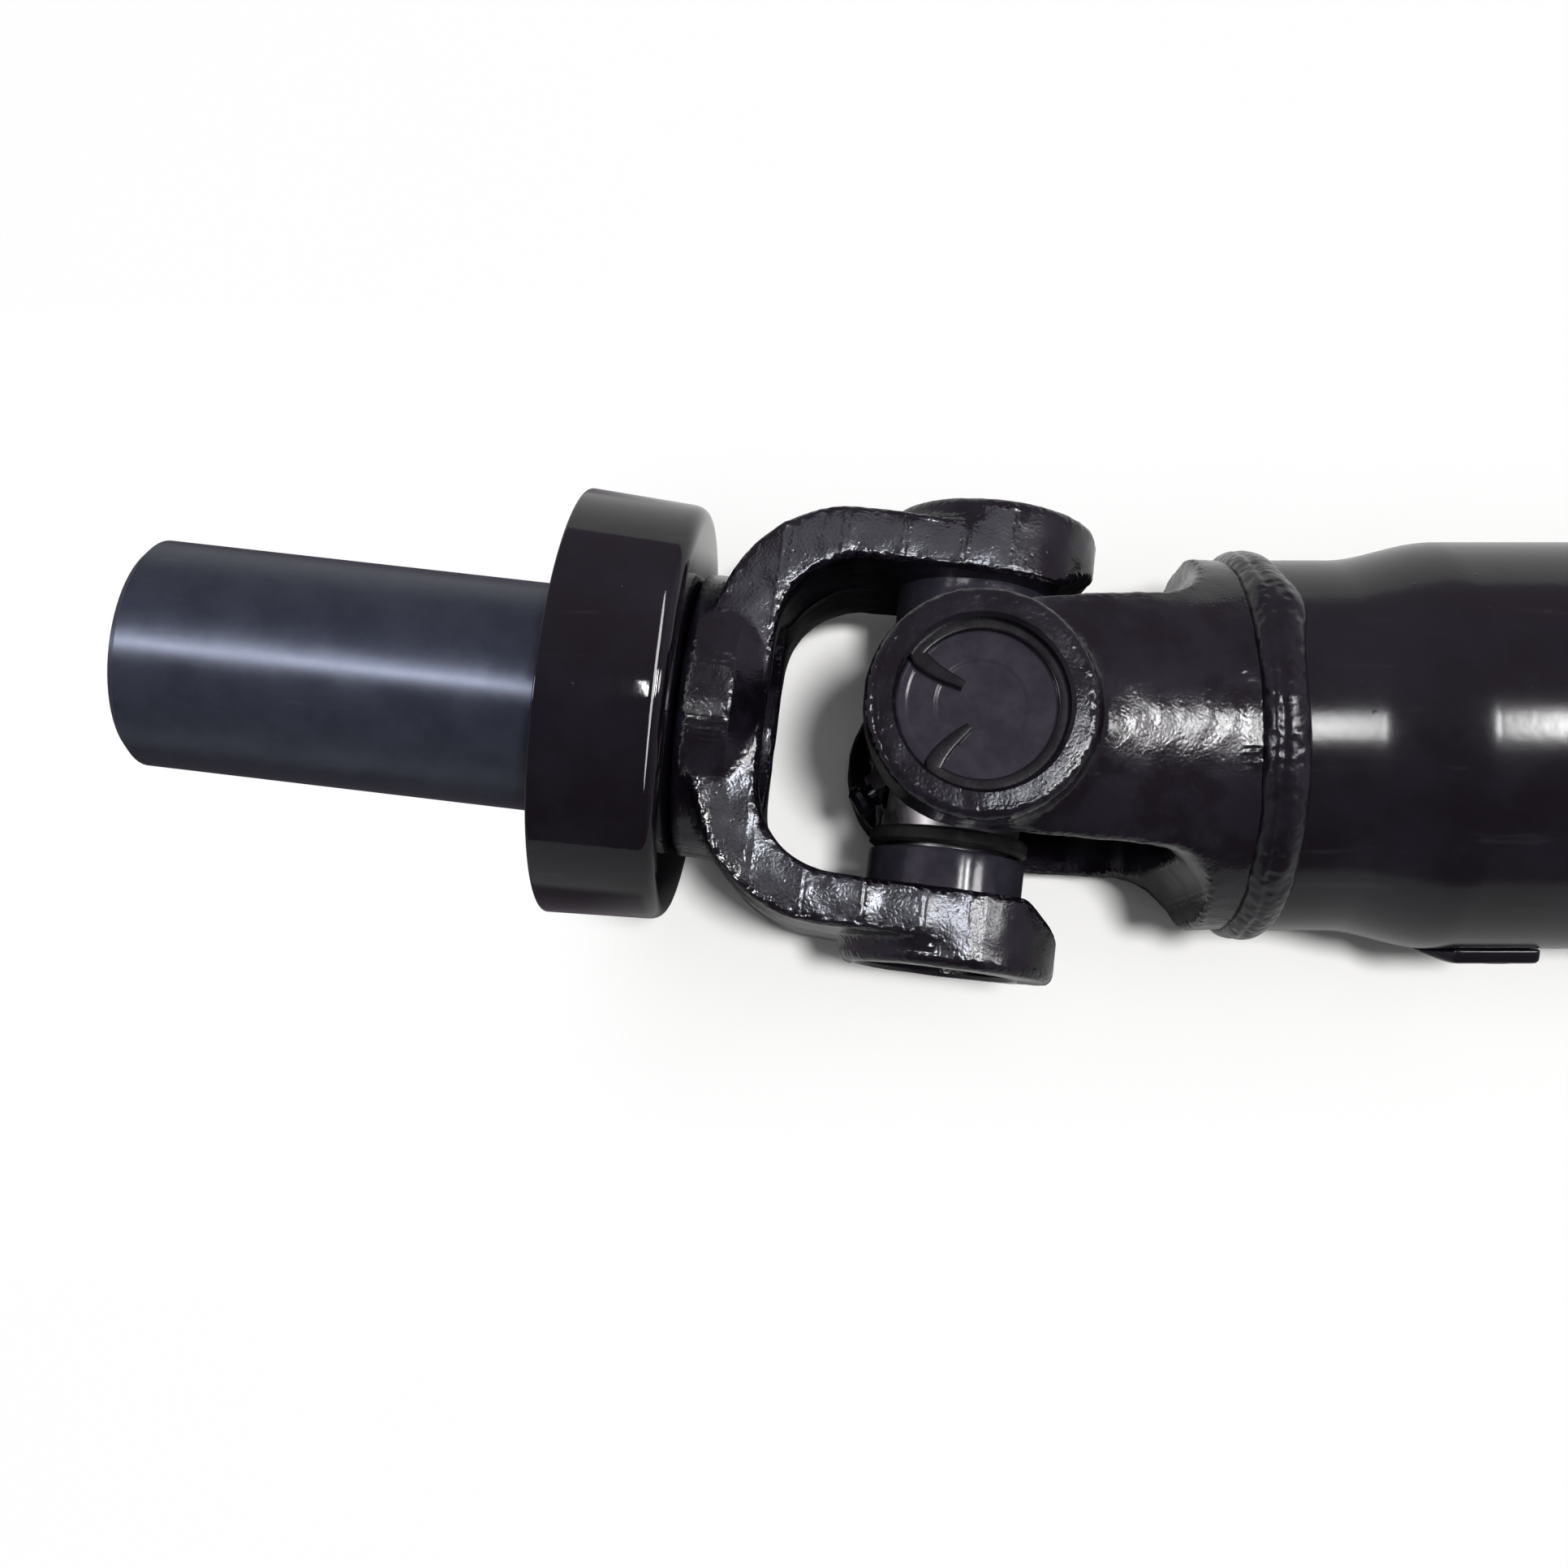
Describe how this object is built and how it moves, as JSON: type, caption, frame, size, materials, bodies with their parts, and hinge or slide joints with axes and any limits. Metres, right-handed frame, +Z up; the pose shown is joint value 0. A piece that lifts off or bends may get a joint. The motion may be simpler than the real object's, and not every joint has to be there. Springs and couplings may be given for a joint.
{
  "type": "universal joint shaft",
  "caption": "Tubular drive shaft with a splined slip yoke and dust cover on one universal joint and a square flange yoke on the other.",
  "frame": {"origin": "centre of the rear flange's mating face", "axes": "+X out of the flange's mating face, along the tube; +Z up, along the tube yokes' trunnion axis; the slip yoke lies towards -X"},
  "size_m": [0.7069, 0.0928, 0.085],
  "materials": {
    "yoke_paint_and_satin_sleeve": "black paint, gloss on the rough forging and satin on the turned sleeve",
    "forging_paint": "gloss black paint over a rough forged surface",
    "sheet_paint": "smooth gloss black paint",
    "weld_paint": "gloss black paint over a rippled weld",
    "cup_paint": "gloss black paint over ground steel",
    "small_parts_paint": "gloss black paint",
    "ground_steel": "ground steel, oiled",
    "needle_steel": "polished bearing steel",
    "seal_rubber": "matte black rubber"
  },
  "bodies": {
    "shaft": {"front_tube_yoke": "forging_paint", "front_weld": "weld_paint", "shaft_tube": "sheet_paint", "front_balance_weight": "sheet_paint", "rear_balance_weight": "sheet_paint", "rear_weld": "weld_paint", "rear_tube_yoke": "forging_paint", "front_cup_top": "cup_paint", "front_needles_top": "needle_steel", "front_snap_ring_top": "small_parts_paint", "front_cup_bottom": "cup_paint", "front_needles_bottom": "needle_steel", "front_snap_ring_bottom": "small_parts_paint", "rear_cup_top": "cup_paint", "rear_needles_top": "needle_steel", "rear_snap_ring_top": "small_parts_paint", "rear_cup_bottom": "cup_paint", "rear_needles_bottom": "needle_steel", "rear_snap_ring_bottom": "small_parts_paint"},
    "front_cross": {"front_cross": "ground_steel", "front_grease_nipple": "small_parts_paint", "front_seal_top": "seal_rubber", "front_seal_bottom": "seal_rubber", "front_seal_left": "seal_rubber", "front_seal_right": "seal_rubber"},
    "slip_yoke": {"slip_yoke": "yoke_paint_and_satin_sleeve", "slip_yoke_plug": "small_parts_paint", "dust_cover": "sheet_paint", "front_cup_left": "cup_paint", "front_needles_left": "needle_steel", "front_snap_ring_left": "small_parts_paint", "front_cup_right": "cup_paint", "front_needles_right": "needle_steel", "front_snap_ring_right": "small_parts_paint"},
    "rear_cross": {"rear_cross": "ground_steel", "rear_grease_nipple": "small_parts_paint", "rear_seal_top": "seal_rubber", "rear_seal_bottom": "seal_rubber", "rear_seal_left": "seal_rubber", "rear_seal_right": "seal_rubber"},
    "flange_yoke": {"flange_yoke": "forging_paint", "rear_cup_left": "cup_paint", "rear_needles_left": "needle_steel", "rear_snap_ring_left": "small_parts_paint", "rear_cup_right": "cup_paint", "rear_needles_right": "needle_steel", "rear_snap_ring_right": "small_parts_paint"}
  },
  "joints": [
    {"name": "front_cross_swing", "type": "hinge", "parent": "shaft", "child": "front_cross", "pos_m": [-0.552, 0, 0], "axis": [0, 0, 1], "range_deg": [-13, 27]},
    {"name": "slip_yoke_tilt", "type": "hinge", "parent": "front_cross", "child": "slip_yoke", "pos_m": [-0.552, 0, 0], "axis": [0.1219, 0.9925, 0], "range_deg": [-18.3, 21.7]},
    {"name": "rear_cross_swing", "type": "hinge", "parent": "shaft", "child": "rear_cross", "pos_m": [-0.052, 0, 0], "axis": [0, 0, 1], "range_deg": [-20, 20]},
    {"name": "flange_yoke_tilt", "type": "hinge", "parent": "rear_cross", "child": "flange_yoke", "pos_m": [-0.052, 0, 0], "axis": [0, 1, 0], "range_deg": [-20, 20]}
  ]
}
